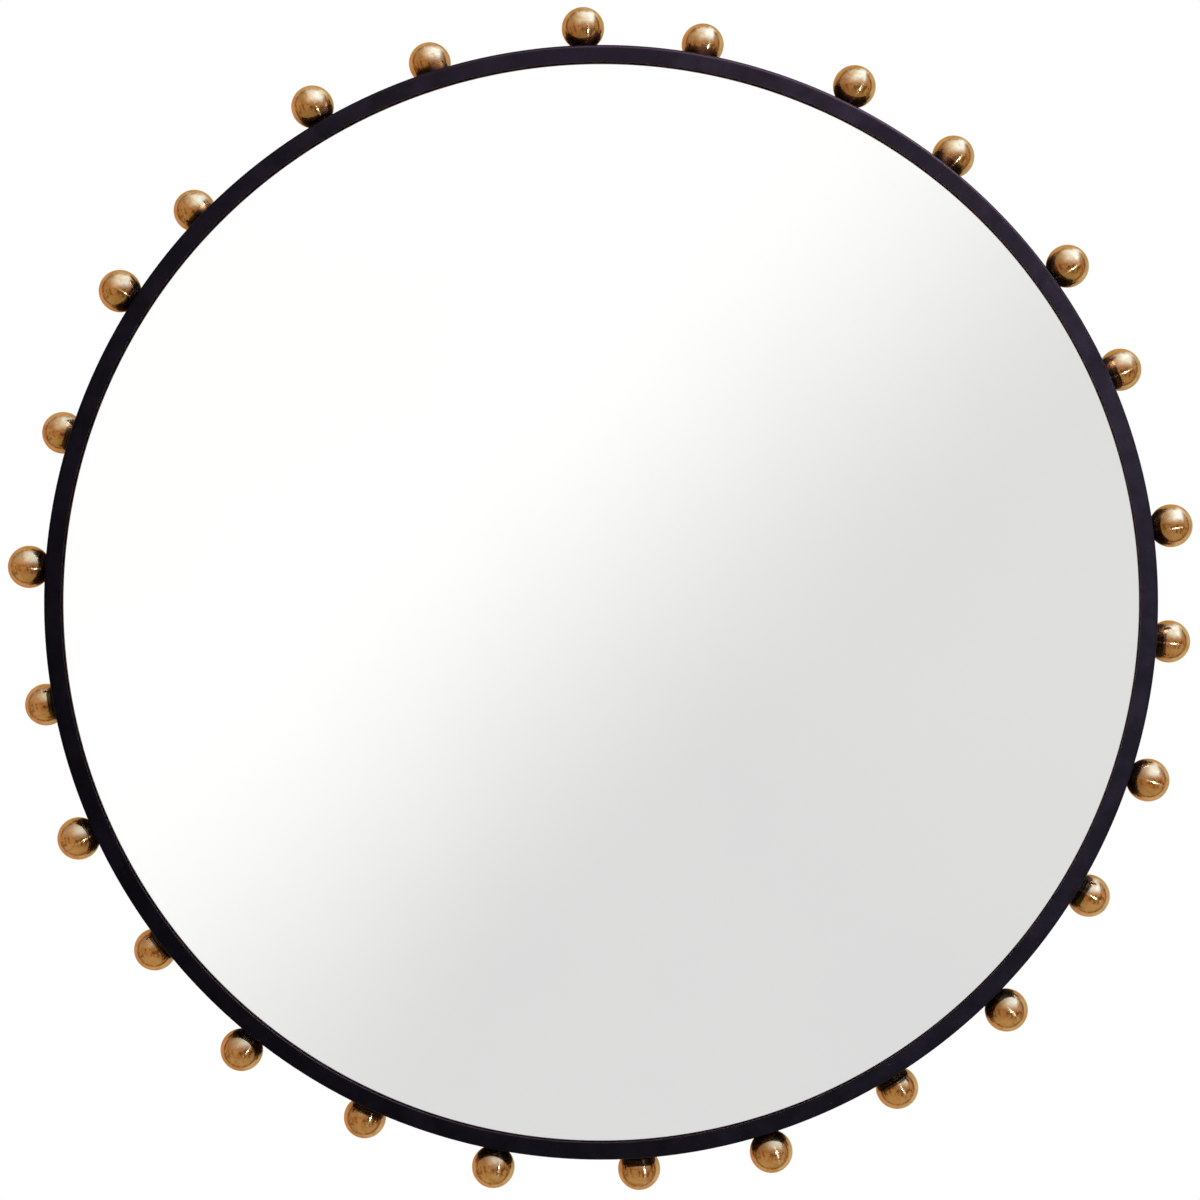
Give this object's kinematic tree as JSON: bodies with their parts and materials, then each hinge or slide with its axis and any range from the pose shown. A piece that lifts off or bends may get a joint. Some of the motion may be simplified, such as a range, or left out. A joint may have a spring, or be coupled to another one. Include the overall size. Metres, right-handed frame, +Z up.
{
  "type": "girandole mirror",
  "caption": "Round wall mirror in a deep dark steel rim, with brass balls set in two staggered rows round the rim and ring hangers behind.",
  "frame": {"origin": "on the wall plane, behind the middle of the round glass", "axes": "+Z up, +X to the right as seen from the front, +Y into the wall; the glass faces -Y"},
  "size_m": [1.0589, 0.078, 1.0597],
  "materials": {
    "black_steel": "satin near-black patina lacquer on steel",
    "aged_brass": "polished, aged and lightly scratched",
    "mirror": "clear silvered glass",
    "foam": "black closed-cell foam tape",
    "hardboard": "pressed brown hardboard",
    "zinc_steel": "bright zinc plate",
    "rubber": "moulded black rubber"
  },
  "bodies": {
    "frame": {"frame_ring": "black_steel", "glass_cushion_ring": "foam", "mirror_glass": "mirror", "backing_board": "hardboard", "ball_01": "aged_brass", "ball_02": "aged_brass", "ball_03": "aged_brass", "ball_04": "aged_brass", "ball_05": "aged_brass", "ball_06": "aged_brass", "ball_07": "aged_brass", "ball_08": "aged_brass", "ball_09": "aged_brass", "ball_10": "aged_brass", "ball_11": "aged_brass", "ball_12": "aged_brass", "ball_13": "aged_brass", "ball_14": "aged_brass", "ball_15": "aged_brass", "ball_16": "aged_brass", "ball_17": "aged_brass", "ball_18": "aged_brass", "ball_19": "aged_brass", "ball_20": "aged_brass", "ball_21": "aged_brass", "ball_22": "aged_brass", "ball_23": "aged_brass", "ball_24": "aged_brass", "ball_25": "aged_brass", "ball_26": "aged_brass", "glass_clip_01": "zinc_steel", "glass_clip_02": "zinc_steel", "glass_clip_03": "zinc_steel", "glass_clip_04": "zinc_steel", "glass_clip_05": "zinc_steel", "glass_clip_06": "zinc_steel", "glass_clip_07": "zinc_steel", "glass_clip_08": "zinc_steel", "glass_clip_09": "zinc_steel", "glass_clip_10": "zinc_steel", "glass_clip_11": "zinc_steel", "glass_clip_12": "zinc_steel", "glass_clip_13": "zinc_steel", "wall_plate_upper_right": "black_steel", "wall_bumper_upper_right": "rubber", "wall_plate_upper_left": "black_steel", "wall_bumper_upper_left": "rubber", "wall_plate_lower_left": "black_steel", "wall_bumper_lower_left": "rubber", "wall_plate_lower_right": "black_steel", "wall_bumper_lower_right": "rubber", "hanger_strap_right": "zinc_steel", "strap_screw_right_1": "zinc_steel", "strap_screw_right_2": "zinc_steel", "hanger_strap_left": "zinc_steel", "strap_screw_left_1": "zinc_steel", "strap_screw_left_2": "zinc_steel"},
    "ring_right": {"hanger_ring_right": "zinc_steel"},
    "ring_left": {"hanger_ring_left": "zinc_steel"}
  },
  "joints": [
    {"name": "ring_right_swing", "type": "hinge", "parent": "frame", "child": "ring_right", "pos_m": [0.31815, -0.0042, 0.3501], "axis": [1, 0, 0], "range_deg": [0, 180]},
    {"name": "ring_left_swing", "type": "hinge", "parent": "frame", "child": "ring_left", "pos_m": [-0.31815, -0.0042, 0.3501], "axis": [1, 0, 0], "range_deg": [0, 180]}
  ]
}
